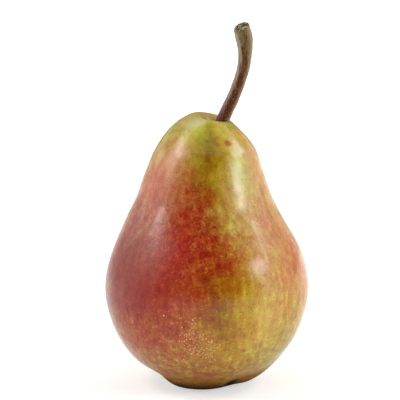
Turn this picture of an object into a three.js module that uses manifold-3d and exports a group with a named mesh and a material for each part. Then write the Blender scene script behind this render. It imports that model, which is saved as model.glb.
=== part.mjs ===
// A ripe pear standing on its base: the fruit, its woody stem and the dried calyx underneath.
// Millimetres, +Z up. The origin is on the surface the pear stands on, under the middle of the
// fruit. The viewer stands on the -Y side, and +X is to the viewer's right.
import * as THREE from "three";
import { mergeVertices } from "three/addons/utils/BufferGeometryUtils.js";
import Module from "manifold-3d";

const wasm = await Module();
wasm.setup();

const { clamp, degToRad, smoothstep } = THREE.MathUtils;

// The fruit's outline as [radius, height]: floor of the calyx basin, foot, belly, neck, lip and
// the hollow that the stem stands in.
const FRUIT_OUTLINE = [
  [0, 5.6],
  [4.0, 5.2],
  [7.2, 3.0],
  [9.9, -0.15],
  [12.3, -0.15],
  [16.4, 1.7],
  [21.2, 5.4],
  [26.7, 11.0],
  [31.7, 18.8],
  [34.7, 28.2],
  [35.0, 37.2],
  [32.4, 47.2],
  [28.0, 56.2],
  [23.7, 64.6],
  [20.7, 72.8],
  [17.5, 80.0],
  [13.0, 86.2],
  [9.0, 90.2],
  [6.2, 92.2],
  [4.2, 91.4],
  [2.5, 89.6],
  [0, 88.8],
];
const STEPS_PER_SPAN = 2;
const FRUIT_SIDES = 64;

// The neck stands a little to one side of the belly, and its top is sheared off towards +X.
const NECK_START = 46;
const NECK_END = 62;
const NECK_SHIFT = [-0.9, 0.9];
const TOP_START = 80;
const TOP_END = 93;
const TOP_SHIFT = 2.4;
const TOP_SLOPE = 0.15;
const TOP_FLATNESS = 0.14;
const LIP_ANGLE = degToRad(115);
const LIP_RISE = 0.7;
const LIP_RADIUS = 6.7;
const HOLLOW_SHIFT = 3.4;

// The belly is slightly out of round.
const OVAL_SHARE = 0.008;
const OVAL_ANGLE = degToRad(50);
const TRIANGLE_SHARE = 0.006;
const TRIANGLE_ANGLE = degToRad(100);

// Dents lift the foot between the lobes that the pear stands on, and a bulge lowers it:
// [angle, radius, rise, half-angle, half-radius].
const FOOT_DENTS = [
  [degToRad(-40), 10.2, 2.6, degToRad(32), 3.4],
  [degToRad(15), 20.5, -1.6, degToRad(22), 4.0],
  [degToRad(75), 11.0, 1.0, degToRad(18), 3.0],
  [degToRad(125), 18.0, 1.0, degToRad(18), 4.0],
  [degToRad(195), 19.0, 2.6, degToRad(26), 3.8],
];
const FOOT_HEIGHT = 30;
const BASIN_HEIGHT = 13;
const BASIN_SHIFT = [3.2, -1.0];
const BASIN_RADIUS = 9.9;

// The stem's centreline from its root in the flesh to its torn end, and its radius on the way.
const STEM_ROUTE = [
  [3.6, 0.7, 85.8],
  [5.6, 0.5, 92.4],
  [9.6, 0.1, 102.2],
  [12.0, -0.3, 110.6],
  [12.7, -0.8, 118.4],
  [12.2, -1.4, 124.6],
];
const STEM_RADII = [1.8, 2.15, 2.1, 2.0, 2.05, 2.35, 2.75, 2.6];
const STEM_STEPS = 30;
const STEM_SIDES = 18;
const STEM_END_DOME = 0.8;
const STEM_END_SLANT = 0.35;

// The calyx: dried sepals round a short root, with withered stamens in the middle.
const CALYX_ROOT_RADIUS = 2.2;
const CALYX_ROOT_DEPTH = 1.6;
const CALYX_DISC_DEPTH = 1.3;
const CALYX_SIDES = 20;
const SEPALS = 5;
const SEPAL_LENGTH = 5.8;
const SEPAL_HALF_WIDTH = 1.8;
const SEPAL_TIP_SHARE = 0.15;
const SEPAL_THICKNESS = 0.7;
const SEPAL_DROP = 3.4;
const SEPAL_CUP = 0.5;
const SEPAL_TURN = degToRad(-38);
const STAMENS = 7;
const STAMEN_LENGTH = 1.8;
const STAMEN_RADIUS = 0.4;
const STAMEN_RING = 1.2;
const STAMEN_LEAN = degToRad(20);

// Meshes hold 32-bit numbers, so pieces that grow into each other keep this gap.
const GAP = 0.3;

// Moves every vertex of a geometry by a function of its place.
function reshaped(geometry, move) {
  const position = geometry.getAttribute("position");
  const vertex = new THREE.Vector3();
  for (let i = 0; i < position.count; i++) {
    vertex.fromBufferAttribute(position, i);
    position.setXYZ(i, ...move(vertex).toArray());
  }
  return geometry;
}

// A lathe geometry about +Z, from an outline that starts and ends on the axis.
function turned(outline, sides) {
  return new THREE.LatheGeometry(outline, sides).rotateX(Math.PI / 2);
}

// A closed geometry as a solid, with the vertices along its seam and at its poles merged.
function solidOf(geometry) {
  const bare = geometry.clone();
  bare.deleteAttribute("normal");
  bare.deleteAttribute("uv");
  const merged = mergeVertices(bare, 1e-4);
  return new wasm.Manifold(
    new wasm.Mesh({
      numProp: 3,
      vertProperties: merged.getAttribute("position").array,
      triVerts: new Uint32Array(merged.index.array),
    }),
  );
}

// A solid as a named mesh.
function meshOf(name, solid, material) {
  const { vertProperties, triVerts, numProp } = solid.getMesh();
  const geometry = new THREE.BufferGeometry();
  geometry.setAttribute("position", new THREE.BufferAttribute(vertProperties, numProp));
  geometry.setIndex(new THREE.BufferAttribute(triVerts, 1));
  geometry.computeVertexNormals();
  const mesh = new THREE.Mesh(geometry, material);
  mesh.name = name;
  return mesh;
}

// How far the foot is lifted at an angle and a radius.
function footRise(angle, radius) {
  let rise = 0;
  for (const [middle, ring, height, halfAngle, halfRadius] of FOOT_DENTS) {
    const turn = Math.atan2(Math.sin(angle - middle), Math.cos(angle - middle));
    rise += height * Math.exp(-((turn / halfAngle) ** 2) - ((radius - ring) / halfRadius) ** 2);
  }
  return rise;
}

// Turns the round outline into the fruit: oval belly, leaning neck, lobed foot and sheared top.
function growFruit({ x, y, z }) {
  const angle = Math.atan2(y, x);
  const radius = Math.hypot(x, y);
  const neck = smoothstep(z, NECK_START, NECK_END);
  const top = smoothstep(z, TOP_START, TOP_END);
  const inHollow = z > TOP_START ? 1 - smoothstep(radius, 0, LIP_RADIUS) : 0;
  const inBasin = z < BASIN_HEIGHT ? 1 - smoothstep(radius, 0, BASIN_RADIUS) : 0;
  const rise = z < FOOT_HEIGHT ? footRise(angle, radius) : 0;

  const oval = OVAL_SHARE * Math.cos(2 * (angle - OVAL_ANGLE));
  const triangle = TRIANGLE_SHARE * Math.cos(3 * (angle - TRIANGLE_ANGLE));
  const spread = radius * (1 + (oval + triangle) * (1 - top));
  const lip = LIP_RISE * Math.cos(angle - LIP_ANGLE) * (1 - inHollow);

  const grown = new THREE.Vector3(spread * Math.cos(angle), spread * Math.sin(angle), z + rise);
  grown.z += top * (lip - TOP_SLOPE * grown.x);
  grown.y *= 1 - TOP_FLATNESS * top;
  grown.x += NECK_SHIFT[0] * neck + TOP_SHIFT * top + HOLLOW_SHIFT * inHollow + BASIN_SHIFT[0] * inBasin;
  grown.y += NECK_SHIFT[1] * neck + BASIN_SHIFT[1] * inBasin;
  grown.z = Math.max(grown.z, 0);
  return grown;
}

function fruitSolid() {
  const outline = new THREE.SplineCurve(FRUIT_OUTLINE.map((point) => new THREE.Vector2(...point)));
  const points = outline.getPoints(STEPS_PER_SPAN * (FRUIT_OUTLINE.length - 1));
  return solidOf(reshaped(turned(points, FRUIT_SIDES), growFruit));
}

// The stem, or with a clearance the space that it needs in the fruit.
function stemSolid(clearance = 0) {
  const route = new THREE.CatmullRomCurve3(STEM_ROUTE.map((point) => new THREE.Vector3(...point)));
  const length = route.getLength();
  const radii = new THREE.SplineCurve(STEM_RADII.map((radius, i) => new THREE.Vector2(i, radius)));
  const outline = [new THREE.Vector2(0, -clearance)];
  for (let i = 0; i <= STEM_STEPS; i++) {
    const share = i / STEM_STEPS;
    const height = i === 0 ? -clearance : length * share;
    outline.push(new THREE.Vector2(radii.getPoint(share).y + clearance, height));
  }
  const endRadius = outline.at(-1).x;
  outline.push(new THREE.Vector2(endRadius * 0.7, length + STEM_END_DOME * 0.7));
  outline.push(new THREE.Vector2(0, length + STEM_END_DOME));
  const bend = ({ x, y, z }) => {
    const share = clamp(z / length, 0, 1);
    const along = route.getTangentAt(share);
    const side = new THREE.Vector3(0, 1, 0).cross(along).normalize();
    const front = along.clone().cross(side);
    const slant = share === 1 ? STEM_END_SLANT * (x + y) * Math.SQRT1_2 : 0;
    return route
      .getPointAt(share)
      .addScaledVector(side, x)
      .addScaledVector(front, y)
      .addScaledVector(along, z - share * length + slant);
  };
  return solidOf(reshaped(turned(outline, STEM_SIDES), bend));
}

// The root that holds the calyx in the basin's floor, with the disc that the sepals grow from.
function calyxRoot(clearance = 0) {
  const radius = CALYX_ROOT_RADIUS + clearance;
  const top = CALYX_ROOT_DEPTH + clearance;
  const outline = [
    new THREE.Vector2(0, -CALYX_DISC_DEPTH),
    new THREE.Vector2(radius * 0.8, -CALYX_DISC_DEPTH),
    new THREE.Vector2(radius, -CALYX_DISC_DEPTH * 0.5),
    new THREE.Vector2(radius, top),
    new THREE.Vector2(0, top),
  ];
  return solidOf(turned(outline, CALYX_SIDES));
}

// One pointed sepal, growing out along +X, arching down and cupped along its length.
function sepalSolid() {
  const blade = new THREE.BoxGeometry(SEPAL_LENGTH, 2, SEPAL_THICKNESS, 8, 4, 1);
  const curl = ({ x, y, z }) => {
    const share = clamp(x / SEPAL_LENGTH + 0.5, 0, 1);
    const width = SEPAL_HALF_WIDTH * Math.max(SEPAL_TIP_SHARE, Math.sqrt(1 - share ** 2));
    const drop = SEPAL_DROP * share ** 1.5 - SEPAL_CUP * y ** 2 * (1 - share);
    return new THREE.Vector3(SEPAL_LENGTH * share, y * width, z - CALYX_DISC_DEPTH * 0.6 - drop);
  };
  return solidOf(reshaped(blade, curl));
}

function stamenSolid() {
  const cone = new THREE.ConeGeometry(STAMEN_RADIUS, STAMEN_LENGTH, 6).rotateX(-Math.PI / 2);
  cone.translate(0, 0, -STAMEN_LENGTH * 0.5).rotateY(-STAMEN_LEAN);
  return solidOf(cone.translate(STAMEN_RING, 0, -CALYX_DISC_DEPTH * 0.8));
}

// Copies of a solid set evenly round the calyx.
function ringOf(solid, count, turn) {
  const copies = [];
  for (let i = 0; i < count; i++) {
    copies.push(solid.rotate([0, 0, THREE.MathUtils.radToDeg(turn) + (360 * i) / count]));
  }
  return wasm.Manifold.union(copies);
}

function calyxSolid(seat) {
  const sepals = ringOf(sepalSolid(), SEPALS, SEPAL_TURN);
  const stamens = ringOf(stamenSolid(), STAMENS, 0);
  return calyxRoot().add(sepals).add(stamens).translate(seat.toArray());
}

const basinFloor = growFruit(new THREE.Vector3(0, 0, FRUIT_OUTLINE[0][1]));
const calyxSeat = basinFloor.clone().add(new THREE.Vector3(0, 0, -GAP));
const stemHole = stemSolid(GAP);
const calyxHole = calyxRoot(GAP).translate(calyxSeat.toArray());

const skin = new THREE.MeshStandardMaterial({ color: 0xb0602c, roughness: 0.38, metalness: 0 });
const bark = new THREE.MeshStandardMaterial({ color: 0x5e4428, roughness: 0.75, metalness: 0 });
const husk = new THREE.MeshStandardMaterial({ color: 0x2e2016, roughness: 0.9, metalness: 0 });

const pear = new THREE.Group();
pear.add(meshOf("fruit", fruitSolid().subtract(stemHole).subtract(calyxHole), skin));
pear.add(meshOf("stem", stemSolid(), bark));
pear.add(meshOf("calyx", calyxSolid(calyxSeat), husk));

export default pear;
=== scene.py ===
"""A ripe, blushed pear standing on its foot, with its woody stem and the dried calyx underneath.

Shapes are worked out in millimetres and scaled to metres in the last step of each node tree.
"""

import logging
import math
from dataclasses import dataclass, field
from enum import Enum
from typing import Any

import bpy
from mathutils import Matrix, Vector


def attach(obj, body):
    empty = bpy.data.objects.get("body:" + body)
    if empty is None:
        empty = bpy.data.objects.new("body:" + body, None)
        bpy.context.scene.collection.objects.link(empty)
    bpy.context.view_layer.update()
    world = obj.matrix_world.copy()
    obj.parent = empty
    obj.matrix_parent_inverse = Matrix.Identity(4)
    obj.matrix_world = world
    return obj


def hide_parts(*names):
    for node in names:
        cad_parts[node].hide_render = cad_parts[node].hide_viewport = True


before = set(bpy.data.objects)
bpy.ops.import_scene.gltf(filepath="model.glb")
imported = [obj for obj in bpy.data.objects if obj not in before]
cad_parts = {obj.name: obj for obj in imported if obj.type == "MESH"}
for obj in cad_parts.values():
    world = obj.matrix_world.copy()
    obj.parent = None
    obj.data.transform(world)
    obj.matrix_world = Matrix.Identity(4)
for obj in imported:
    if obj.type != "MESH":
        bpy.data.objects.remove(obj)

LOG = logging.getLogger("pear")
MM = 0.001
BODY = "root"
SEED = 11
MERIDIANS = "Meridians"
GIRTH = "girth"

# A number is plain or a Signal.
Number = Any
Socket = bpy.types.NodeSocket
Colour = tuple[float, float, float]


def srgb(red: int, green: int, blue: int) -> Colour:
    """Turns a colour as seen on a screen into linear light.

    Args:
        red, green, blue: the colour's channels, from 0 to 255.

    Returns:
        The same colour in linear light, from 0 to 1.
    """
    shares = (channel / 255 for channel in (red, green, blue))
    return tuple(s / 12.92 if s <= 0.04045 else ((s + 0.055) / 1.055) ** 2.4 for s in shares)


def smooth_path(points: tuple, steps: int) -> list[Vector]:
    """Runs a smooth curve through a few points.

    Args:
        points: the points that the curve passes through, in order.
        steps: how many steps each span between two points is cut into.

    Returns:
        The points along the curve, from the first given point to the last.
    """
    knots = [Vector(point) for point in points]
    path = []
    for span in range(len(knots) - 1):
        before, start = knots[max(span - 1, 0)], knots[span]
        end, after = knots[span + 1], knots[min(span + 2, len(knots) - 1)]
        leave, arrive = (end - before) / 2, (after - start) / 2
        for step in range(steps):
            t = step / steps
            path.append(
                start
                + leave * t
                + (3 * (end - start) - 2 * leave - arrive) * t**2
                + (2 * (start - end) + leave + arrive) * t**3
            )
    return [*path, knots[-1]]


class Signal:
    """A number that runs through a node tree, so that node maths reads as Python expressions."""

    def __init__(self, graph: "Graph", socket: Socket) -> None:
        """Wraps a socket of a graph's tree."""
        self.graph = graph
        self.socket = socket

    def __add__(self, other: Number) -> "Signal":
        """The sum."""
        return self.graph.maths("ADD", self, other)

    __radd__ = __add__

    def __mul__(self, other: Number) -> "Signal":
        """The product."""
        return self.graph.maths("MULTIPLY", self, other)

    __rmul__ = __mul__

    def __sub__(self, other: Number) -> "Signal":
        """The difference."""
        return self.graph.maths("SUBTRACT", self, other)

    def __rsub__(self, other: Number) -> "Signal":
        """The difference, from a plain number."""
        return self.graph.maths("SUBTRACT", other, self)

    def __truediv__(self, other: Number) -> "Signal":
        """The quotient."""
        return self.graph.maths("DIVIDE", self, other)

    def __rtruediv__(self, other: Number) -> "Signal":
        """The quotient of a plain number."""
        return self.graph.maths("DIVIDE", other, self)

    def __pow__(self, other: Number) -> "Signal":
        """The power."""
        return self.graph.maths("POWER", self, other)

    def __rpow__(self, other: Number) -> "Signal":
        """A plain number's power."""
        return self.graph.maths("POWER", other, self)

    def __neg__(self) -> "Signal":
        """The negative."""
        return self.graph.maths("MULTIPLY", self, -1.0)


class Graph:
    """Adds nodes to one shader or geometry node tree."""

    def __init__(self, tree: bpy.types.NodeTree) -> None:
        """Keeps the tree that the nodes are added to."""
        self.tree = tree

    def add(self, kind: str, settings: dict | None = None, inputs: dict | None = None) -> bpy.types.Node:
        """Adds a node.

        Args:
            kind: the node's type.
            settings: its properties, which are set first.
            inputs: plain values, signals or sockets by socket name or index.

        Returns:
            The new node.
        """
        node = self.tree.nodes.new(kind)
        for name, value in (settings or {}).items():
            setattr(node, name, value)
        self.fill(node, inputs or {})
        return node

    def fill(self, node: bpy.types.Node, inputs: dict) -> None:
        """Sets or links a node's sockets.

        Args:
            node: the node.
            inputs: plain values, signals or sockets by socket name or index.
        """
        for key, value in inputs.items():
            socket = self.pick(node.inputs, key)
            if isinstance(value, Signal):
                value = value.socket
            if isinstance(value, Socket):
                self.tree.links.new(value, socket)
            else:
                socket.default_value = value

    @staticmethod
    def pick(sockets: Any, key: str | int) -> Socket:
        """Finds a socket that is in use, by its name, or any socket by its index."""
        named = (socket for socket in sockets if socket.name == key and socket.enabled)
        return sockets[key] if isinstance(key, int) else next(named)

    def out(self, node: bpy.types.Node, key: str | int = 0) -> Signal:
        """One of a node's outputs as a signal."""
        return Signal(self, self.pick(node.outputs, key))

    def maths(self, operation: str, *operands: Number) -> Signal:
        """Adds a Math node on plain numbers or signals."""
        return self.out(self.add("ShaderNodeMath", {"operation": operation}, dict(enumerate(operands))))

    def vector(self, operation: str, *operands: Any) -> Signal:
        """Adds a Vector Math node.

        Args:
            operation: what the node does.
            operands: the vectors, as signals or tuples. Scale takes its number last.

        Returns:
            The result, which is a number where the operation gives one.
        """
        inputs = dict(enumerate(operands))
        if operation == "SCALE":
            inputs = {0: operands[0], "Scale": operands[1]}
        key = "Value" if operation in ("DOT_PRODUCT", "LENGTH", "DISTANCE") else "Vector"
        return self.out(self.add("ShaderNodeVectorMath", {"operation": operation}, inputs), key)

    def ramp(self, value: Signal, low: Number, high: Number, start: float = 0.0, end: float = 1.0) -> Signal:
        """Eases from start to end as a value goes from low to high, and stays there.

        Args:
            value: the value.
            low, high: where the change starts and where it is done.
            start, end: the result below low and above high.

        Returns:
            The eased value.
        """
        settings = {"interpolation_type": "SMOOTHSTEP", "clamp": True}
        inputs = {"Value": value, "From Min": low, "From Max": high, "To Min": start, "To Max": end}
        return self.out(self.add("ShaderNodeMapRange", settings, inputs))

    def split(self, vector: Signal) -> list[Signal]:
        """The three numbers of a vector."""
        node = self.add("ShaderNodeSeparateXYZ", inputs={0: vector})
        return [self.out(node, axis) for axis in "XYZ"]

    def join(self, x: Number, y: Number, z: Number) -> Signal:
        """A vector of three numbers."""
        return self.out(self.add("ShaderNodeCombineXYZ", inputs={"X": x, "Y": y, "Z": z}))

    def noise(self, place: Signal, scale: Number, detail: float = 2.0, roughness: float = 0.5) -> Signal:
        """Smooth noise from 0 to 1 at a place, with its scale in features per unit."""
        inputs = {"Vector": place, "Scale": scale, "Detail": detail, "Roughness": roughness}
        return self.out(self.add("ShaderNodeTexNoise", {"noise_dimensions": "3D"}, inputs), 0)

    def cloud(self, place: Signal, scale: float, detail: float) -> Signal:
        """Three smooth noises from 0 to 1 at a place, as a vector."""
        inputs = {"Vector": place, "Scale": scale, "Detail": detail}
        return self.out(self.add("ShaderNodeTexNoise", {"noise_dimensions": "3D"}, inputs), 1)

    def blend(self, share: Number, first: Signal | Colour, second: Signal | Colour) -> Signal:
        """Mixes two colours.

        Args:
            share: the second colour's share.
            first, second: the colours, as signals or plain colours.

        Returns:
            The mixed colour.
        """
        first, second = ((*c, 1.0) if isinstance(c, tuple) else c for c in (first, second))
        inputs = {0: share, "A": first, "B": second}
        return self.out(self.add("ShaderNodeMix", {"data_type": "RGBA"}, inputs), "Result")


class Shader(Graph):
    """The node tree of a new material, with its surface."""

    def __init__(self, name: str) -> None:
        """Starts a material.

        Args:
            name: the material's name.
        """
        self.material = bpy.data.materials.new(name)
        self.material.use_nodes = True
        super().__init__(self.material.node_tree)
        self.surface = self.tree.nodes["Principled BSDF"]

    def where(self) -> Signal:
        """The place in Object coordinates, in metres."""
        return self.out(self.add("ShaderNodeTexCoord"), "Object")

    def place(self) -> Signal:
        """The place in Object coordinates, in millimetres."""
        return self.vector("SCALE", self.where(), 1 / MM)

    def bump(self, height: Signal, strength: float, distance: float) -> Socket:
        """Turns a relief into a normal, with its distance in metres."""
        inputs = {"Strength": strength, "Distance": distance, "Height": height}
        return self.add("ShaderNodeBump", inputs=inputs).outputs[0]

    def dress(self, inputs: dict[str, Any]) -> bpy.types.Material:
        """Sets or links the surface's sockets by name, and gives the finished material."""
        self.fill(self.surface, inputs)
        return self.material


def stood(name: str, data: Any) -> bpy.types.Object:
    """Puts a new object in the scene.

    Args:
        name: the object's name.
        data: its mesh, light or camera.

    Returns:
        The object, at the origin.
    """
    thing = bpy.data.objects.new(name, data)
    bpy.context.scene.collection.objects.link(thing)
    return thing


class Grower(Graph):
    """A Geometry Nodes tree with named sizes, which grows a finished mesh from a source."""

    def __init__(self, name: str, sizes: dict[str, float | int]) -> None:
        """Starts a tree.

        Args:
            name: the tree's name.
            sizes: its named inputs, whole numbers for counts and others for sizes.
        """
        super().__init__(bpy.data.node_groups.new(name, "GeometryNodeTree"))
        face = self.tree.interface
        face.new_socket("Geometry", in_out="INPUT", socket_type="NodeSocketGeometry")
        face.new_socket("Geometry", in_out="OUTPUT", socket_type="NodeSocketGeometry")
        self.values = {}
        for label, value in sizes.items():
            kind = "NodeSocketInt" if isinstance(value, int) else "NodeSocketFloat"
            self.values[face.new_socket(label, in_out="INPUT", socket_type=kind).identifier] = value
        self.given = self.add("NodeGroupInput")
        self.source = self.out(self.given, "Geometry")

    def size(self, label: str) -> Signal:
        """A named input as a signal."""
        return self.out(self.given, label)

    def shape(self, kind: str, inputs: dict, settings: dict | None = None) -> Socket:
        """Adds a node and gives the geometry that it makes."""
        return self.add(kind, settings, inputs).outputs[0]

    def position(self) -> Signal:
        """Each point's position."""
        return self.out(self.add("GeometryNodeInputPosition"))

    def circle(self, angle: Signal) -> tuple[Signal, Signal]:
        """The cosine and the sine of an angle."""
        return self.maths("COSINE", angle), self.maths("SINE", angle)

    def sampled(self, share: Signal) -> bpy.types.Node:
        """Samples the source, a chain of edges, along its length.

        Args:
            share: how far along it, from 0 to 1.

        Returns:
            The sampling node, whose value is the girth there.
        """
        curve = self.shape("GeometryNodeMeshToCurve", {0: self.source})
        girth = self.add("GeometryNodeInputNamedAttribute", {"data_type": "FLOAT"}, {"Name": GIRTH})
        inputs = {"Curves": curve, "Factor": share, "Value": self.out(girth)}
        return self.add("GeometryNodeSampleCurve", {"mode": "FACTOR", "data_type": "FLOAT"}, inputs)

    def closed_grid(self, sides: Number, rings: Number) -> tuple[Socket, Signal, Signal]:
        """Starts a surface that closes on itself round its sides and at both ends.

        Args:
            sides: how many faces there are round it.
            rings: how many rings of vertices there are along it.

        Returns:
            The flat grid, the turn round it from 0 to a full turn, and the share along it.
        """
        grid = self.add(
            "GeometryNodeMeshGrid",
            inputs={"Size X": 1.0, "Size Y": 1.0, "Vertices X": sides + 1, "Vertices Y": rings},
        )
        across, along, _ = self.split(self.position())
        kept = self.shape(
            "GeometryNodeStoreNamedAttribute",
            {"Geometry": grid.outputs["Mesh"], "Name": MERIDIANS, "Value": grid.outputs["UV Map"]},
            {"data_type": "FLOAT2", "domain": "CORNER"},
        )
        return kept, (across + 0.5) * math.tau, along + 0.5

    def moved(self, geometry: Socket, position: Signal) -> Socket:
        """Moves a geometry's points to new positions."""
        inputs = {"Geometry": geometry, "Position": position}
        return self.shape("GeometryNodeSetPosition", inputs)

    def placed(self, geometry: Socket, position: Signal) -> Socket:
        """Puts a closed grid's vertices in place, and joins its seam and its ends."""
        inputs = {"Geometry": self.moved(geometry, position), "Distance": 1e-5}
        return self.shape("GeometryNodeMergeByDistance", inputs)

    def draw(self, low: Number, high: Number, seed: int) -> Signal:
        """A random number for each point, between two limits."""
        inputs = {"Min": low, "Max": high, "Seed": seed}
        return self.out(self.add("FunctionNodeRandomValue", {"data_type": "FLOAT"}, inputs), "Value")

    def spread(self, points: Socket, copy: Socket, rotation: Signal, scale: Signal) -> Socket:
        """Puts a real copy of a shape at each point.

        Args:
            points: the points.
            copy: the shape.
            rotation: how each copy is turned.
            scale: how much each copy is enlarged.

        Returns:
            The copies.
        """
        size = self.join(scale, scale, scale)
        inputs = {"Points": points, "Instance": copy, "Rotation": rotation, "Scale": size}
        copies = self.shape("GeometryNodeInstanceOnPoints", inputs)
        return self.shape("GeometryNodeRealizeInstances", {"Geometry": copies})

    def together(self, *parts: Socket) -> Socket:
        """Joins several geometries in one.

        Args:
            parts: the geometries.

        Returns:
            All of them.
        """
        node = self.add("GeometryNodeJoinGeometry")
        for part in parts:
            self.tree.links.new(part, node.inputs[0])
        return node.outputs[0]

    def shifted(self, geometry: Socket, offset: Signal | tuple) -> Socket:
        """Moves a geometry's points by an offset."""
        inputs = {"Geometry": geometry, "Offset": offset}
        return self.shape("GeometryNodeSetPosition", inputs)

    def in_metres(self, geometry: Socket) -> Socket:
        """Scales a geometry from millimetres to metres."""
        return self.moved(geometry, self.vector("SCALE", self.position(), MM))

    def grown(
        self, name: str, source: bpy.types.Mesh, made: Socket, material: bpy.types.Material
    ) -> bpy.types.Object:
        """Ends the tree, runs it once and keeps the result as a plain mesh.

        Args:
            name: the piece's name.
            source: the mesh that the tree starts from.
            made: the socket of the finished geometry.
            material: the material of all its faces.

        Returns:
            The new piece, at the origin.
        """
        real = self.shape("GeometryNodeRealizeInstances", {"Geometry": made})
        soft = self.shape("GeometryNodeSetShadeSmooth", {"Geometry": real})
        done = self.shape("GeometryNodeSetMaterial", {"Geometry": soft, "Material": material})
        self.add("NodeGroupOutput", inputs={"Geometry": done})
        carrier = stood(name + ".source", source)
        modifier = carrier.modifiers.new("Grow", "NODES")
        modifier.node_group = self.tree
        for identifier, value in self.values.items():
            modifier[identifier] = value
        result = carrier.evaluated_get(bpy.context.evaluated_depsgraph_get())
        mesh = bpy.data.meshes.new_from_object(result)
        mesh.name = name
        carrier.modifiers.remove(modifier)
        bpy.data.objects.remove(carrier)
        return stood(name, mesh)


def line_mesh(name: str, points: list[Vector], girths: list[float] | None = None) -> bpy.types.Mesh:
    """Makes a chain of edges, which a node tree can read as a curve.

    Args:
        name: the mesh's name.
        points: the chain's points in order.
        girths: a radius for each point, kept as an attribute.

    Returns:
        The mesh.
    """
    mesh = bpy.data.meshes.new(name)
    mesh.from_pydata(points, [(i, i + 1) for i in range(len(points) - 1)], [])
    if girths:
        mesh.attributes.new(GIRTH, "FLOAT", "POINT").data.foreach_set("value", girths)
    return mesh


class Slot(Enum):
    """The record's material slots."""

    SKIN = "skin"
    BARK = "bark"
    HUSK = "husk"


def fit(piece: bpy.types.Object, slot: Slot, *nodes: str) -> None:
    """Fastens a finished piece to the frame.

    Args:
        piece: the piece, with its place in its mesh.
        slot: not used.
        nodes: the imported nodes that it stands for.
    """
    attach(piece, BODY)
    if nodes:
        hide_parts(*nodes)
    LOG.info("%s: %d faces", piece.name, len(piece.data.polygons))


@dataclass(frozen=True)
class Patch:
    """A soft-edged area of the fruit.

    Its middle is an angle round the fruit, from the front towards the right, in degrees, and a
    height in millimetres.
    """

    angle: float
    height: float
    half_angle: float
    half_height: float
    strength: float

    def field(self, graph: Graph, outward: Signal, height: Signal) -> Signal:
        """How strong the patch is at a place.

        Args:
            graph: the node tree.
            outward: the level direction from the fruit's axis to the place.
            height: the place's height in millimetres.

        Returns:
            The strength.
        """
        turn = math.radians(self.angle)
        facing = graph.vector("DOT_PRODUCT", outward, (math.sin(turn), -math.cos(turn), 0.0))
        apart = (1 - facing) * (2 / math.radians(self.half_angle) ** 2)
        level = (height - self.height) / self.half_height
        return graph.maths("EXPONENT", -(apart + level * level)) * self.strength


def patches_field(graph: Graph, patches: tuple[Patch, ...], place: Signal) -> Signal:
    """Adds up patches.

    Args:
        graph: the node tree.
        patches: the patches.
        place: the place in millimetres.

    Returns:
        The patches' strength at the place.
    """
    outward = graph.vector("NORMALIZE", graph.vector("MULTIPLY", place, (1.0, 1.0, 0.0)))
    height = graph.split(place)[2]
    total = patches[0].field(graph, outward, height)
    for patch in patches[1:]:
        total = total + patch.field(graph, outward, height)
    return total


@dataclass(frozen=True)
class Spot:
    """A round mark, with its middle and its radius in millimetres."""

    middle: tuple[float, float, float]
    radius: float

    def field(self, graph: Graph, place: Signal) -> Signal:
        """The mark's strength at a place, 1 in its middle and fading at its radius."""
        apart = graph.vector("DISTANCE", place, self.middle)
        return graph.ramp(apart, self.radius * 0.4, self.radius, 1.0, 0.0)


@dataclass(frozen=True)
class Dye:
    """A dye that lies in the skin in a layer of varying thickness.

    Its takes are how strongly a layer of thickness 1 takes out red, green and blue light. The
    base is its thickness away from its patches, and never below zero. The mottling is a share
    of the thickness, and the grain is added to it.
    """

    takes: Colour
    base: float
    patches: tuple[Patch, ...]
    mottling: float
    grain: float

    def layer(self, graph: Graph, place: Signal, texture: Signal) -> Signal:
        """The layer's thickness at a place.

        Args:
            graph: the shader's tree.
            place: the place in millimetres.
            texture: noise round zero.

        Returns:
            The thickness.
        """
        even = graph.maths("MAXIMUM", patches_field(graph, self.patches, place) + self.base, 0.0)
        return graph.maths("MAXIMUM", even * (1 + texture * self.mottling) + texture * self.grain, 0.0)


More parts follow.
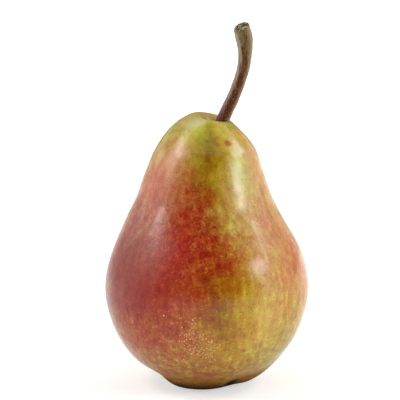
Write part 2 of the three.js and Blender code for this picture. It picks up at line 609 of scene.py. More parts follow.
@dataclass(frozen=True)
class SkinFinish:
    """Waxy skin: pale flesh seen through layers of yellow, green and red dye, corky at the foot, with painted
    shade low on the foot, in the gap under it and in the stem's hollow.
    """

    flesh: Colour = (0.80, 0.70, 0.40)
    # The patches of every dye stand from the top of the fruit down.
    yellow: Dye = Dye(
        (0.03, 0.14, 2.2), 0.24,
        (
            Patch(4, 92.5, 50, 1.8, -0.5), Patch(10, 88, 42, 4, 0.55), Patch(10, 86, 20, 7, 0.75),
            Patch(-38, 84, 10, 5, -0.25), Patch(1, 80, 14, 12, 1.15), Patch(34, 80, 8, 10, -0.2),
            Patch(-16, 62, 13, 14, 0.3), Patch(-52, 54, 26, 18, -0.35), Patch(18, 54, 10, 12, -0.2),
            Patch(74, 50, 12, 16, 0.35), Patch(60, 38, 15, 14, 0.8), Patch(9, 35, 17, 24, 1.1),
            Patch(12, 35, 8, 13, 0.5), Patch(4, 34, 16, 8, 0.35), Patch(-24, 33, 16, 8, 0.6),
            # The last patch here darkens the foot all round: partly russet, partly painted shade near the
            # floor.
            Patch(0, 15, 60, 9, 0.3), Patch(56, 14, 18, 8, 0.3), Patch(0, 5, 130, 7, 0.9),
        ),
        0.6, 0.06,
    )
    green: Dye = Dye(
        (0.75, 0.26, 1.0), 0.64,
        (
            Patch(0, 92.3, 60, 1.2, -0.3), Patch(-75, 88, 40, 7, 0.08), Patch(14, 86, 18, 7, 0.3),
            Patch(-38, 84, 10, 5, -0.4), Patch(-12, 84, 10, 8, 0.2), Patch(2, 82, 16, 11, 0.65),
            Patch(38, 79, 7, 5, -0.25), Patch(45, 76, 16, 12, 0.22), Patch(-45, 74, 24, 10, -0.1),
            Patch(-8, 74, 5, 8, 0.15), Patch(-14, 71, 10, 8, 0.1), Patch(2, 60, 16, 12, 0.35),
            Patch(180, 55, 60, 45, 0.2), Patch(60, 50, 30, 30, 0.1), Patch(-60, 45, 40, 25, 0.1),
            Patch(-57, 44, 27, 20, 0.6), Patch(-76, 36, 16, 22, 0.3), Patch(9, 36, 10, 15, 0.45),
            Patch(60, 30, 10, 10, 0.15), Patch(30, 29, 16, 10, -0.22), Patch(0, 20, 130, 16, 0.1),
            # The last patch here darkens the foot all round: partly russet, partly painted shade near the
            # floor.
            Patch(56, 14, 18, 8, 0.3), Patch(0, 5, 130, 9, 0.55),
        ),
        0.8, 0.2,
    )
    red: Dye = Dye(
        (0.16, 1.9, 1.3), 0.34,
        (
            Patch(-20, 91, 60, 4, -0.2), Patch(-75, 88, 40, 7, -0.05), Patch(16, 86, 14, 4, 0.15),
            Patch(-38, 84, 10, 5, -0.1), Patch(5, 80, 12, 6, 0.25), Patch(-40, 76, 12, 7, 0.15),
            Patch(3, 76, 9, 7, -0.15), Patch(38, 76, 10, 12, -0.25), Patch(-8, 74, 5, 7, -0.2),
            Patch(-60, 70, 22, 10, 0.3), Patch(-4, 70, 8, 10, 0.2), Patch(-11, 63, 14, 13, 0.85),
            Patch(58, 55, 30, 25, 0.25), Patch(9, 52, 12, 7, 0.35), Patch(3, 48, 9, 9, 0.3),
            Patch(-14, 46, 24, 13, 0.6), Patch(72, 45, 14, 14, 0.2), Patch(-66, 43, 14, 10, 0.35),
            Patch(-55, 42, 42, 24, 0.95), Patch(64, 41, 14, 8, 0.15), Patch(-36, 37, 18, 5, 0.5),
            Patch(27, 33, 10, 9, -0.17), Patch(-42, 24, 26, 12, 0.22), Patch(-20, 24, 12, 6, 0.2),
            # The last patch here darkens the foot all round: partly russet, partly painted shade near the
            # floor.
            Patch(-12, 24, 24, 14, 0.22), Patch(-54, 20, 12, 8, 0.25), Patch(0, 8, 90, 7, 0.3),
        ),
        1.5, 0.25,
    )
    red_spot: Spot = Spot((7.6, -10.9, 86.0), 2.2)
    # Painted shade in the hollow round the stem.
    hollow: Spot = Spot((6.2, 0.6, 88.6), 6.5)
    # Painted shadow in the gap under the front right of the foot.
    notch_shadow: Spot = Spot((8.8, -15.5, 1.6), 4.8)
    cork: Colour = srgb(112, 68, 28)
    # Painted shade: the near-black colour of the shade where the foot meets the floor and in the gap under
    # its front.
    painted_shade: Colour = srgb(26, 11, 5)
    roughness: float = 0.2
    dull_roughness: float = 0.9
    refraction: float = 1.4
    relief: float = 0.00005
    blooms: tuple[Patch, ...] = (
        Patch(-47, 45, 32, 11, 0.36),
        Patch(-45, 75, 12, 8, 0.2),
        Patch(-26, 84, 12, 6, 0.04),
        Patch(36, 79, 8, 5, 0.12),
        Patch(0, 93, 400, 2, 0.25),
    )
    even: Patch = Patch(60, 55, 26, 30, 0.24)
    speckled: tuple[Patch, ...] = (
        Patch(-12, 50, 24, 15, 2.2),
        Patch(-52, 42, 20, 16, 0.9),
        Patch(-24, 26, 24, 11, 1.2),
    )

    def material(self) -> bpy.types.Material:
        """Makes the skin's material.

        Returns:
            The material, which reads Object coordinates.
        """
        graph = Shader("Skin")
        place = graph.place()
        drift = graph.vector("SUBTRACT", graph.cloud(place, 0.16, 4.0), (0.5,) * 3)
        _, depth, height = graph.split(place)
        drift = graph.vector("SCALE", drift, graph.ramp(height, 66.0, 86.0, 1.0, 0.4))
        drifted = graph.vector("ADD", place, graph.vector("MULTIPLY", drift, (13.0, 13.0, 20.0)))
        tall = graph.vector("MULTIPLY", place, (1.0, 1.0, 0.26))
        broad = graph.noise(tall, 0.17, 2.0) - 0.5
        streaks = graph.noise(tall, 0.55, 3.0) - 0.5
        blotches = graph.noise(place, 0.4, 3.0) - 0.5
        dots = graph.noise(place, 1.1, 3.0, 0.65) - 0.5
        fine = graph.noise(place, 2.8, 2.0, 0.6) - 0.5

        bloom = patches_field(graph, self.blooms, place)
        even = patches_field(graph, (self.even,), place)
        calm = graph.ramp(height, 58.0, 76.0, 1.0, 0.68) * (1 - bloom * 1.8 - even)
        pores = self.pores(graph, place, 0.72, 0.0) * calm
        freckles = self.pores(graph, place, 0.6, 40.0) * calm
        flat = graph.vector("MULTIPLY", place, (0.3, 0.3, 2.0))
        girdles = (graph.noise(flat, 1.0, 3.0, 0.6) - 0.5) * graph.ramp(height, 12.0, 26.0, 0.7, 0.0)
        mottle = (broad * 0.4 + streaks * 0.6 + blotches * 0.8 + dots * 0.7 + fine * 0.6) * calm + girdles
        red = self.red.layer(graph, drifted, mottle)
        red = red * (1 - pores * 0.45) + freckles * 0.35 + self.red_spot.field(graph, place) * 0.8
        leafy = (streaks * 1.2 + blotches * 0.5 - dots * 0.5) * calm + girdles
        green = self.green.layer(graph, drifted, leafy)
        green = green + (fine + dots * 0.6) * patches_field(graph, self.speckled, place)
        # Round the stem the hollow spot thickens the green dye as painted shade.
        green = green * (1 - pores * 0.3) + freckles * 0.25 + self.hollow.field(graph, place) * 0.8
        yellow = self.yellow.layer(graph, drifted, (streaks * 0.9 - blotches * 0.5 + dots * 0.8) * calm)
        yellow = yellow * (1 - pores * 0.3)

        channels = []
        for flesh, *takes in zip(self.flesh, self.yellow.takes, self.green.takes, self.red.takes):
            taken = yellow * takes[0] + green * takes[1] + red * takes[2]
            channels.append(graph.maths("EXPONENT", -taken) * flesh)
        dyed = graph.out(graph.add("ShaderNodeCombineColor", inputs=dict(enumerate(channels))))
        corky = graph.ramp(height + dots * 6 + blotches * 6, 2.5, 9.0, 0.8, 0.0)
        skin = graph.blend(corky, dyed, self.cork)
        # Painted contact shade: the skin turns near-black low on the foot, most on the front, and in the gap
        # under the foot.
        contact_shade = graph.ramp(height + dots * 3 + blotches * 3, 0.5, 5.5, 1.0, 0.0)
        contact_shade = contact_shade * graph.ramp(depth, -15.0, -4.0, 1.0, 0.45)
        skin = graph.blend(graph.maths("MAXIMUM", contact_shade, self.notch_shadow.field(graph, place)), skin, self.painted_shade)

        shine = self.roughness + bloom + dots * 0.15 + corky * 0.4
        normal = graph.bump(dots * 0.5 + fine * 0.25 + blotches * 0.5 + pores * 0.06, 1.0, self.relief)
        unshiny = {"Roughness": self.dull_roughness, "Specular IOR Level": 0.0}
        unshiny |= {"Base Color": skin, "Normal": normal}
        dull = graph.add("ShaderNodeBsdfPrincipled", inputs=unshiny)
        bare = graph.ramp(height, 3.0, 12.0, 0.9, 0.0)
        layers = {0: bare, 1: graph.surface.outputs[0], 2: dull.outputs[0]}
        mixed = graph.add("ShaderNodeMixShader", inputs=layers)
        graph.fill(graph.tree.nodes["Material Output"], {"Surface": mixed.outputs[0]})
        shiny = {"Base Color": skin, "Roughness": shine, "IOR": self.refraction, "Normal": normal}
        return graph.dress(shiny)

    @staticmethod
    def pores(graph: Graph, place: Signal, scale: float, shift: float) -> Signal:
        """Small round dots, scattered in cells.

        Args:
            graph: the shader's tree.
            place: the place in millimetres.
            scale: how many cells there are to a millimetre.
            shift: how far the cells are moved, for another scatter.

        Returns:
            1 inside a dot and 0 outside.
        """
        moved = graph.vector("ADD", place, (shift, shift, shift))
        cells = graph.add("ShaderNodeTexVoronoi", {"feature": "F1"}, {"Vector": moved, "Scale": scale})
        return graph.ramp(graph.out(cells, "Distance"), 0.1, 0.24, 1.0, 0.0)


@dataclass(frozen=True)
class BarkFinish:
    """Dull bark: red brown, olive towards its end and on the sunny side, with a painted silvery sheen down
    its left and right edges.
    """

    core: Colour = srgb(86, 40, 12)
    olive: Colour = srgb(108, 90, 48)
    painted_sheen: Colour = srgb(146, 130, 112)
    mauve: Colour = srgb(112, 82, 84)
    dark: Colour = srgb(38, 16, 6)
    speck: Colour = srgb(166, 126, 70)
    wood: Colour = srgb(164, 150, 118)
    pith: Colour = srgb(56, 42, 16)
    roughness: float = 0.55
    gloss: float = 0.12
    relief: float = 0.0003

    def material(self) -> bpy.types.Material:
        """Makes the bark's material.

        Returns:
            The material, which reads Object coordinates, and the turn and the share along the stem.
        """
        graph = Shader("Bark")
        place = graph.place()
        turn, along, _ = graph.split(graph.out(graph.add("ShaderNodeUVMap", {"uv_map": MERIDIANS})))
        right = graph.maths("COSINE", turn * math.tau)
        tall = graph.vector("MULTIPLY", place, (1.0, 1.0, 0.14))
        fibres = graph.noise(tall, 2.4, 3.0, 0.6) - 0.5
        bands = graph.noise(tall, 0.9, 2.0) - 0.5
        specks = graph.noise(place, 2.2, 2.0, 0.6) - 0.5

        sunny = graph.ramp(right * 0.35 + (along - 0.6) * 1.8 + bands * 2.0, -0.2, 0.6)
        bark = graph.blend(sunny, self.core, self.olive)
        bark = graph.blend(graph.ramp(fibres, 0.0, 0.16, 0.0, 0.8), bark, self.dark)
        # Painted sheen: mauve low and silver higher down the left edge, and silver on the right edge, where
        # the lamps catch the stem.
        painted_left_sheen = graph.ramp(bands * 1.6 + fibres * 1.2 - right, 0.2, 0.8, 0.0, 0.9)
        bark = graph.blend(painted_left_sheen, bark, graph.blend(graph.ramp(along, 0.2, 0.42), self.mauve, self.painted_sheen))
        bark = graph.blend(graph.ramp(right + fibres, 0.4, 0.95, 0.0, 0.6), bark, self.painted_sheen)
        low = graph.ramp(along, 0.12, 0.34, 0.03, 0.0)
        bark = graph.blend(graph.ramp(specks + low, 0.11, 0.18, 0.0, 0.8), bark, self.speck)
        torn = graph.ramp(along + specks * 0.04, 0.935, 0.95)
        end = graph.blend(graph.ramp(graph.noise(place, 1.3, 3.0, 0.7), 0.46, 0.6), self.pith, self.wood)
        bark = graph.blend(torn, bark, end)
        normal = graph.bump(fibres * 0.8 + specks * 0.7 + bands, 0.8, self.relief)
        finish = {"Roughness": self.roughness, "Specular IOR Level": self.gloss}
        return graph.dress(finish | {"Base Color": bark, "Normal": normal})


@dataclass(frozen=True)
class PlainFinish:
    """A dull finish of one hue, lighter and darker in small patches."""

    name: str
    light: Colour
    dark: Colour
    scale: float
    roughness: float
    relief: float = 0.0002

    def material(self) -> bpy.types.Material:
        """Makes the material.

        Returns:
            The material, which reads Object coordinates.
        """
        graph = Shader(self.name)
        cloud = graph.noise(graph.place(), self.scale, 4.0, 0.6)
        colour = graph.blend(graph.ramp(cloud, 0.35, 0.65), self.dark, self.light)
        normal = graph.bump(cloud, 0.5, self.relief)
        return graph.dress({"Base Color": colour, "Roughness": self.roughness, "Normal": normal})


@dataclass(frozen=True)
class Swell:
    """A soft change of the fruit's shape, in degrees and millimetres.

    In the foot it lifts the surface where its level, a distance from the axis, is reached. On the
    shoulders it moves the surface outwards round its level, a height. A negative rise is the opposite.
    """

    angle: float
    level: float
    rise: float
    half_angle: float
    half_level: float


@dataclass
class Fruit:
    """The fruit, grown from a round outline that is then shifted, sheared and dented.

    Sizes are in millimetres and angles in degrees from +X.
    """

    outline: tuple[tuple[float, float], ...] = (
        (0, 5.6), (4.0, 5.2), (7.2, 3.0), (9.9, -0.15), (12.3, -0.15), (16.4, 1.7),
        (21.2, 5.4), (26.7, 11.0), (31.7, 18.8), (34.7, 28.2), (35.0, 37.2), (32.4, 47.2),
        (28.0, 56.2), (23.7, 64.6), (20.7, 72.8), (17.5, 80.0), (13.0, 86.2), (9.0, 90.2),
        (6.2, 92.2), (4.2, 91.4), (2.5, 89.6), (0, 88.8),
    )
    steps: int = 16
    foot_rises: tuple[Swell, ...] = (
        Swell(-40, 10.2, 2.6, 32, 3.4),
        Swell(15, 20.5, -1.6, 22, 4.0),
        Swell(75, 11.0, 1.0, 18, 3.0),
        Swell(125, 18.0, 1.0, 18, 4.0),
        Swell(195, 19.0, 2.6, 26, 3.8),
        Swell(-53, 19.0, 1.3, 16, 4.0),
    )
    shoulders: tuple[Swell, ...] = (
        Swell(180, 87.5, 1.15, 55, 6.5),
        Swell(0, 83.5, 1.3, 50, 6.5),
    )
    sizes: dict[str, float | int] = field(default_factory=lambda: {
        "Sides": 384,
        "Rings": 200,
        "Neck Start": 46.0, "Neck End": 62.0, "Neck Shift X": -0.9, "Neck Shift Y": 0.9,
        "Top Start": 80.0, "Top End": 93.0, "Top Shift": 2.4, "Top Lift": 0.5, "Top Slope": 0.15,
        "Top Flatness": 0.14,
        "Lip Angle": 115.0, "Lip Rise": 0.7, "Lip Radius": 6.7,
        "Hollow Shift": 3.4,
        "Oval Share": 0.008, "Oval Angle": 50.0,
        "Triangle Share": 0.006, "Triangle Angle": 100.0,
        "Shoulder Start": 6.0, "Shoulder End": 10.0,
        "Foot Height": 30.0,
        "Basin Height": 13.0, "Basin Shift X": 3.2, "Basin Shift Y": -1.0, "Basin Radius": 9.9,
        "Lump Height": 0.5, "Lump Scale": 0.06,
        "Ripple Height": 0.09, "Ripple Scale": 0.28,
    })

    @staticmethod
    def raised(tree: Grower, swells: tuple[Swell, ...], angle: Signal, level: Signal) -> Signal:
        """Adds up swellings.

        Args:
            tree: the node tree.
            swells: the swellings.
            angle: the angle round the fruit, in radians.
            level: the distance from its axis, or the height.

        Returns:
            The rise.
        """
        rise = None
        for swell in swells:
            turn = tree.maths("WRAP", angle - math.radians(swell.angle), math.pi, -math.pi)
            across = turn / math.radians(swell.half_angle)
            along = (level - swell.level) / swell.half_level
            one = tree.maths("EXPONENT", -(across * across + along * along)) * swell.rise
            rise = one if rise is None else rise + one
        return rise

    def skin(self, material: bpy.types.Material) -> bpy.types.Object:
        """Grows the skin.

        Args:
            material: the skin's material.

        Returns:
            The skin as a closed mesh.
        """
        tree = Grower("Fruit", self.sizes)
        size = tree.size
        grid, angle, share = tree.closed_grid(size("Sides"), size("Rings"))
        radius, _, height = tree.split(tree.out(tree.sampled(share), "Position"))
        across, up = tree.circle(angle)

        def turned(label: str, folds: int) -> Signal:
            """A wave with some folds round the fruit, turned by a named angle."""
            return tree.maths("COSINE", (angle - size(label) * math.radians(1)) * folds)

        neck = tree.ramp(height, size("Neck Start"), size("Neck End"))
        top = tree.ramp(height, size("Top Start"), size("Top End"))
        is_top = tree.maths("GREATER_THAN", height, size("Top Start"))
        is_basin = tree.maths("LESS_THAN", height, size("Basin Height"))
        is_foot = tree.maths("LESS_THAN", height, size("Foot Height"))
        hollow = is_top * (1 - tree.ramp(radius, 0.0, size("Lip Radius")))
        basin = is_basin * (1 - tree.ramp(radius, 0.0, size("Basin Radius")))
        rise = is_foot * self.raised(tree, self.foot_rises, angle, radius)
        near_rim = tree.ramp(radius, size("Shoulder Start"), size("Shoulder End"))
        shoulder = self.raised(tree, self.shoulders, angle, height) * near_rim

        oval = size("Oval Share") * turned("Oval Angle", 2)
        triangle = size("Triangle Share") * turned("Triangle Angle", 3)
        spread = radius * (1 + (oval + triangle) * (1 - top)) + shoulder
        lip = size("Lip Rise") * turned("Lip Angle", 1) * (1 - hollow)
        x, y = spread * across, spread * up
        z = height + rise + top * (lip + size("Top Lift") - size("Top Slope") * x)
        y = y * (1 - size("Top Flatness") * top)
        x = x + size("Neck Shift X") * neck + size("Top Shift") * top
        x = x + size("Hollow Shift") * hollow + size("Basin Shift X") * basin
        y = y + size("Neck Shift Y") * neck + size("Basin Shift Y") * basin

        smooth = tree.join(x, y, z)
        lumps = (tree.noise(smooth, size("Lump Scale"), 2.0) - 0.5) * size("Lump Height")
        lumps = lumps + (tree.noise(smooth, size("Ripple Scale"), 2.0) - 0.5) * size("Ripple Height")
        x = x + lumps * across
        y = y + lumps * up
        grown = tree.placed(grid, tree.join(x, y, tree.maths("MAXIMUM", z, 0.0)))
        source = line_mesh("Outline", [Vector((p.x, 0, p.y)) for p in smooth_path(self.outline, self.steps)])
        return tree.grown("fruit_skin", source, tree.in_metres(grown), material)

    def basin_floor(self) -> Vector:
        """The middle of the basin under the fruit."""
        return Vector((self.sizes["Basin Shift X"], self.sizes["Basin Shift Y"], self.outline[0][1]))

    def build(self, finish: SkinFinish) -> bpy.types.Object:
        """Makes the fruit and fastens it to the frame.

        Args:
            finish: the skin's finish.

        Returns:
            The skin.
        """
        skin = self.skin(finish.material())
        fit(skin, Slot.SKIN, "fruit")
        return skin


@dataclass
class Stem:
    """The woody stem, from its root in the flesh to its torn end. Sizes are in millimetres."""

    route: tuple[tuple[float, float, float], ...] = (
        (3.6, 0.7, 85.8), (5.8, 0.5, 92.4), (10.1, 0.1, 102.2),
        (12.6, -0.3, 110.6), (12.9, -0.8, 118.2), (11.8, -1.4, 123.3),
    )
    radii: tuple[float, ...] = (1.8, 2.25, 2.2, 2.1, 2.15, 2.4, 2.9, 2.8)
    steps: int = 12
    sizes: dict[str, float | int] = field(default_factory=lambda: {
        "Sides": 72,
        "Rings": 260,
        "End Share": 0.06, "End Dome": 1.5, "End Slant": 0.175,
        "Ridge Height": 0.28, "Ridge Scale": 1.6, "Ridge Girth": 1.6, "Ridge Length": 5.0,
        "Torn Depth": 0.7, "Torn Scale": 0.9,
    })

    def build(self, finish: BarkFinish) -> bpy.types.Object:
        """Grows the stem and fastens it to the frame.

        Args:
            finish: the bark's finish.

        Returns:
            The stem as a closed mesh.
        """
        tree = Grower("Stem", self.sizes)
        size = tree.size
        grid, angle, share = tree.closed_grid(size("Sides"), size("Rings"))
        end = size("End Share")
        root_cap = tree.maths("MINIMUM", share / end, 1.0)
        end_cap = tree.maths("MINIMUM", (1 - share) / end, 1.0)
        along = tree.maths("MINIMUM", tree.maths("MAXIMUM", (share - end) / (1 - end * 2), 0.0), 1.0)
        point = tree.sampled(along)
        centre, tangent = tree.out(point, "Position"), tree.out(point, "Tangent")
        side = tree.vector("NORMALIZE", tree.vector("CROSS_PRODUCT", (0.0, 1.0, 0.0), tangent))
        front = tree.vector("CROSS_PRODUCT", tangent, side)

        end_dome, end_round = tree.circle(end_cap * (math.pi / 2))
        rounding = tree.maths("SINE", root_cap * (math.pi / 2)) * end_round
        across, up = tree.circle(angle)
        girth = size("Ridge Girth")
        bark = tree.join(across * girth, up * girth, along * size("Ridge Length"))
        ridges = (tree.noise(bark, size("Ridge Scale"), 4.0, 0.6) - 0.5) * size("Ridge Height") * 2
        radius = (tree.out(point, "Value") + ridges) * rounding
        x, y = radius * across, radius * up
        torn = tree.noise(tree.join(x, y, 3.0), size("Torn Scale"), 4.0, 0.7)
        torn = (torn - 0.5) * size("Torn Depth") * 2
        tip = (1 - end_cap) * (1 - end_cap)
        dome = size("End Dome") * end_dome * tree.maths("GREATER_THAN", share, 0.5)
        slant = (x + y) * size("End Slant")
        lift = dome + tip * torn + slant * tree.ramp(share, 1 - 3 * end, 1.0)
        position = tree.vector("ADD", centre, tree.vector("SCALE", side, x))
        position = tree.vector("ADD", position, tree.vector("SCALE", front, y))
        position = tree.vector("ADD", position, tree.vector("SCALE", tangent, lift))
        points = smooth_path(self.route, self.steps)
        source = line_mesh("Route", points, self.girths(len(points)))
        stem = tree.grown("stem_bark", source, tree.in_metres(tree.placed(grid, position)), finish.material())
        fit(stem, Slot.BARK, "stem")
        return stem

    def girths(self, count: int) -> list[float]:
        """Radii spaced evenly along the stem.

        Args:
            count: how many radii are wanted.

        Returns:
            The radii, from the root to the end.
        """
        path = smooth_path(tuple(enumerate(self.radii)), self.steps)
        last = len(path) - 1
        return [path[round(last * i / (count - 1))].y for i in range(count)]


@dataclass
class Calyx:
    """What is left of the flower, dried in the basin: a woody disc, five sepals and some stamens.

    It hangs a little below its seat, the middle of the basin's floor. Sizes are in millimetres and
    angles in degrees.
    """

    seat: Vector
    drop: float = 0.3
    sizes: dict[str, float | int] = field(default_factory=lambda: {
        "Sepals": 5,
        "Sepal Length": 5.6, "Sepal Half Width": 1.7, "Sepal Thickness": 0.5, "Sepal Drop": 2.9,
        "Sepal Cup": 0.6, "Sepal Turn": -38.0, "Sepal Sides": 20, "Sepal Rings": 22,
        "Stamens": 9,
        "Stamen Turn": 10.0, "Stamen Length": 2.4, "Stamen Radius": 0.2, "Stamen Ring": 1.3,
        "Stamen Sides": 8, "Stamen Rings": 14,
        "Disc Radius": 2.3, "Disc Height": 1.4, "Disc Sides": 40, "Disc Rings": 24,
        "Shrivel": 0.9,
        "Turn Jitter": 0.16,
        "Twist Jitter": 0.3,
        "Tilt Jitter": 0.18,
        "Smallest": 0.85,
        "Largest": 1.05,
    })

    def sepal(self, tree: Grower) -> Socket:
        """Makes a sepal that leaves the disc along +X and droops towards its pointed tip.

        Args:
            tree: the calyx's tree.

        Returns:
            The sepal.
        """
        size = tree.size
        grid, angle, share = tree.closed_grid(size("Sepal Sides"), size("Sepal Rings"))
        swell = tree.circle(share * math.pi)[1] ** 0.55
        across, up = tree.circle(angle)
        across = across * swell * (1 - share * 0.55)
        cup = across * across * size("Sepal Cup")
        fold = up * swell * size("Sepal Thickness") * 0.5
        droop = share * share * size("Sepal Drop")
        x, y = share * size("Sepal Length"), across * size("Sepal Half Width")
        return tree.placed(grid, tree.join(x, y, fold - cup - droop))

    def stamen(self, tree: Grower) -> Socket:
        """Makes a thin stamen that hangs from the disc and ends in a small knob.

        Args:
            tree: the calyx's tree.

        Returns:
            The stamen.
        """
        size = tree.size
        grid, angle, share = tree.closed_grid(size("Stamen Sides"), size("Stamen Rings"))
        ends = tree.circle(share * math.pi)[1] ** 0.3
        knob = tree.ramp(share, 0.75, 0.9, 1.0, 1.9)
        radius = size("Stamen Radius") * ends * knob
        across, up = tree.circle(angle)
        x = size("Stamen Ring") + share * share * 0.9 + radius * across
        return tree.placed(grid, tree.join(x, radius * up, -(share * size("Stamen Length")) - 0.6))

    def disc(self, tree: Grower) -> Socket:
        """Makes the lobed woody disc that carries the sepals.

        Args:
            tree: the calyx's tree.

        Returns:
            The disc.
        """
        size = tree.size
        grid, angle, share = tree.closed_grid(size("Disc Sides"), size("Disc Rings"))
        lobes = 1 + tree.maths("COSINE", angle * 5) * 0.08
        fall, swell = tree.circle(share * math.pi)
        radius = size("Disc Radius") * swell**0.7 * lobes
        across, up = tree.circle(angle)
        return tree.placed(grid, tree.join(radius * across, radius * up, -fall * size("Disc Height")))

    def ring(self, tree: Grower, copy: Socket, name: str, seed: int) -> Socket:
        """Sets copies of a shape evenly round the disc, each a little turned, tilted and resized.

        Args:
            tree: the calyx's tree.
            copy: the shape, which points away from the axis along +X.
            name: what the sizes call it.
            seed: the seed of the random draws.

        Returns:
            The copies.
        """
        size = tree.size
        count = size(name + "s")
        points = tree.shape("GeometryNodePoints", {"Count": count})
        index = tree.out(tree.add("GeometryNodeInputIndex"))
        turn, twist, tilt = (size(label + " Jitter") for label in ("Turn", "Twist", "Tilt"))
        angle = index / count * math.tau + size(name + " Turn") * math.radians(1)
        angle = angle + tree.draw(-turn, turn, seed)
        euler = tree.join(tree.draw(-twist, twist, seed + 1), tree.draw(-tilt, tilt, seed + 2), angle)
        rotation = tree.add("FunctionNodeEulerToRotation", inputs={"Euler": euler})
        enlarged = tree.draw(size("Smallest"), size("Largest"), seed + 3)
        return tree.spread(points, copy, tree.out(rotation), enlarged)

    def build(self, finish: PlainFinish) -> bpy.types.Object:
        """Grows the calyx and fastens it to the frame.

        Args:
            finish: the dried husk's finish.

        Returns:
            The calyx as closed meshes in one piece.
        """
        tree = Grower("Calyx", self.sizes)
        sepals = self.ring(tree, self.sepal(tree), "Sepal", SEED)
        stamens = self.ring(tree, self.stamen(tree), "Stamen", SEED + 10)
        whole = tree.together(sepals, stamens, self.disc(tree))
        wrinkle = tree.vector("SUBTRACT", tree.cloud(tree.position(), 0.9, 3.0), (0.5,) * 3)
        dried = tree.shifted(whole, tree.vector("SCALE", wrinkle, tree.size("Shrivel")))
        hung = tree.in_metres(tree.shifted(dried, tuple(self.seat - Vector((0, 0, self.drop)))))
        calyx = tree.grown("calyx_husk", bpy.data.meshes.new("Start"), hung, finish.material())
        fit(calyx, Slot.HUSK, "calyx")
        return calyx


@dataclass
class Pores:
    """The raised, corky pores of the skin, thickest low on the front. Sizes are in millimetres."""

    clusters: tuple[Patch, ...] = (
        Patch(-2, 19.5, 7, 5, 1.0),
        Patch(-8, 24, 8, 6, 0.6),
        Patch(-10, 20, 14, 8, 0.15),
    )
    sizes: dict[str, float | int] = field(default_factory=lambda: {
        "Spacing": 0.6,
        "Most": 1.8,
        "Radius": 0.28,
        "Height": 0.06,
        "Sides": 6,
        "Rings": 5,
        "Smallest": 0.5,
        "Largest": 1.3,
        "None Below": 2.0,
        "All Above": 5.0,
    })

    def bead(self, tree: Grower) -> Socket:
        """Makes one pore.

        Args:
            tree: the pores' tree.

        Returns:
            The pore, flat along Z.
        """
        size = tree.size
        grid, angle, share = tree.closed_grid(size("Sides"), size("Rings"))
        fall, swell = tree.circle(share * math.pi)
        across, up = tree.circle(angle)
        radius = size("Radius") * swell
        return tree.placed(grid, tree.join(radius * across, radius * up, -fall * size("Height")))

    def build(self, skin: bpy.types.Object, finish: PlainFinish) -> bpy.types.Object:
        """Scatters the pores over the skin and fastens them to the frame.

        Args:
            skin: the finished skin.
            finish: the pores' finish.

        Returns:
            The pores as small closed meshes in one piece.
        """
        tree = Grower("Pores", self.sizes)
        size, place = tree.size, tree.position()
        in_mm = tree.moved(tree.source, tree.vector("SCALE", place, 1 / MM))
        crowd = tree.maths("MINIMUM", patches_field(tree, self.clusters, place), 1.0)
        crowd = crowd * tree.ramp(tree.split(place)[2], size("None Below"), size("All Above"))
        scatter = tree.add(
            "GeometryNodeDistributePointsOnFaces",
            {"distribute_method": "POISSON"},
            {
                "Mesh": in_mm, "Distance Min": size("Spacing"), "Density Max": size("Most"),
                "Density Factor": crowd, "Seed": SEED,
            },
        )
        enlarged = tree.draw(size("Smallest"), size("Largest"), SEED)
        copies = tree.spread(scatter.outputs[0], self.bead(tree), tree.out(scatter, "Rotation"), enlarged)
        pores = tree.grown("skin_pores", skin.data, tree.in_metres(copies), finish.material())
        fit(pores, Slot.SKIN)
        return pores


@dataclass(frozen=True)
class Lamp:
    """A soft, rectangular light: angles in degrees from the front towards the right, sizes in metres."""

    name: str
    azimuth: float
    elevation: float
    width: float
    height: float
    radiance: float
    distance: float = 1.0


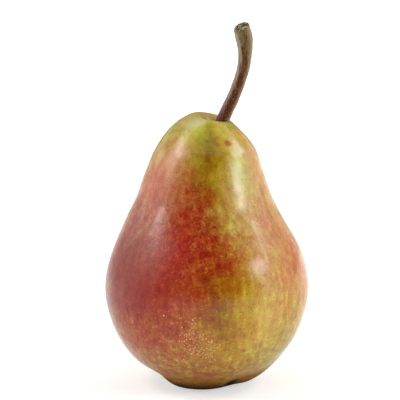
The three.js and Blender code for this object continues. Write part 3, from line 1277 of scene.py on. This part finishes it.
@dataclass
class Studio:
    """The floor, the lights and the camera. Sizes are in metres."""

    floor_radius: float = 5.0
    floor_corners: int = 128
    floor_shade: float = 0.6
    floor_roughness: float = 0.8
    dim_until: float = 0.06
    bright_from: float = 0.4
    dim_glow: float = 0.55
    bright_glow: float = 1.0
    room_glow: float = 0.11
    camera_distance: float = 0.7
    camera_elevation: float = 10.0
    look_at: Vector = field(default_factory=lambda: Vector((-0.0023, 0.0, 0.064)))
    lens: float = 183.0
    lit_point: Vector = field(default_factory=lambda: Vector((0.0, 0.0, 0.05)))
    lamps: tuple[Lamp, ...] = (
        Lamp("top_box", 180, 84, 1.4, 1.4, 0.85, 1.35),
        Lamp("left_wall", -98, 17, 1.0, 0.6, 1.75),
        Lamp("left_high_box", -80, 53, 0.36, 0.3, 10.0),
        Lamp("left_low_box", -76, 33, 0.2, 0.09, 24.0),
        Lamp("right_wall", 92, 17, 1.05, 0.65, 1.9),
        Lamp("right_high_box", 100, 43, 0.4, 0.3, 9.5),
        Lamp("right_low_box", 68, 23, 0.3, 0.26, 11.0),
        Lamp("left_rim_wall", -140, 12, 0.5, 0.5, 0.7),
        Lamp("right_rim_wall", 140, 10, 0.5, 0.5, 1.0),
    )

    def floor(self) -> None:
        """Lays a round pale floor."""
        corners = range(self.floor_corners)
        turns = [math.tau * corner / len(corners) for corner in corners]
        ring = [(self.floor_radius * math.cos(t), self.floor_radius * math.sin(t), 0.0) for t in turns]
        mesh = bpy.data.meshes.new("floor")
        mesh.from_pydata(ring, [], [tuple(corners)])
        graph = Shader("Floor")
        away = graph.vector("LENGTH", graph.where())
        glow = graph.ramp(away, self.dim_until, self.bright_from, self.dim_glow, self.bright_glow)
        finish = graph.dress({
            "Base Color": (self.floor_shade, self.floor_shade, self.floor_shade, 1.0),
            "Roughness": self.floor_roughness,
            "Emission Color": graph.join(glow, glow, glow),
            "Emission Strength": 1.0,
        })
        mesh.materials.append(finish)
        stood("floor", mesh)

    def hang(self, lamp: Lamp) -> None:
        """Hangs a lamp so that it faces the middle of the fruit.

        Args:
            lamp: the lamp.
        """
        turn, rise = math.radians(lamp.azimuth), math.radians(lamp.elevation)
        away = Vector((math.sin(turn) * math.cos(rise), -math.cos(turn) * math.cos(rise), math.sin(rise)))
        data = bpy.data.lights.new(lamp.name, "AREA")
        data.shape = "RECTANGLE"
        data.size, data.size_y = lamp.width, lamp.height
        data.energy = lamp.radiance * math.pi * lamp.width * lamp.height
        light = stood(lamp.name, data)
        light.location = self.lit_point + away * lamp.distance
        light.rotation_euler = (-away).to_track_quat("-Z", "Y").to_euler()

    def lights(self) -> None:
        """Hangs the lights and sets the room's dim glow."""
        world = bpy.data.worlds.new("Room")
        bpy.context.scene.world = world
        world.use_nodes = True
        glow = {"Color": (1.0, 1.0, 1.0, 1.0), "Strength": self.room_glow}
        Graph(world.node_tree).fill(world.node_tree.nodes["Background"], glow)
        for lamp in self.lamps:
            self.hang(lamp)

    def camera(self) -> None:
        """Places the camera at the photograph's viewing angle."""
        tilt = math.radians(self.camera_elevation)
        back = Vector((0.0, -math.cos(tilt), math.sin(tilt)))
        data = bpy.data.cameras.new("Camera")
        data.lens = self.lens
        camera = stood("Camera", data)
        camera.location = self.look_at + back * self.camera_distance
        camera.rotation_euler = (-back).to_track_quat("-Z", "Y").to_euler()
        bpy.context.scene.camera = camera

    def build(self) -> None:
        """Sets up the studio."""
        bpy.context.scene.view_settings.view_transform = "Standard"
        self.floor()
        self.lights()
        self.camera()


def main() -> None:
    """Builds the studio and the pear."""
    logging.basicConfig(level=logging.INFO, format="%(message)s")
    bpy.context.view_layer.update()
    Studio().build()
    fruit = Fruit()
    skin = fruit.build(SkinFinish())
    Pores().build(skin, PlainFinish("Pore", srgb(232, 180, 134), srgb(198, 134, 86), 0.5, 0.6))
    Stem().build(BarkFinish())
    Calyx(fruit.basin_floor()).build(PlainFinish("Husk", srgb(92, 62, 38), srgb(30, 18, 12), 0.8, 0.8))


if __name__ == "__main__":
    main()
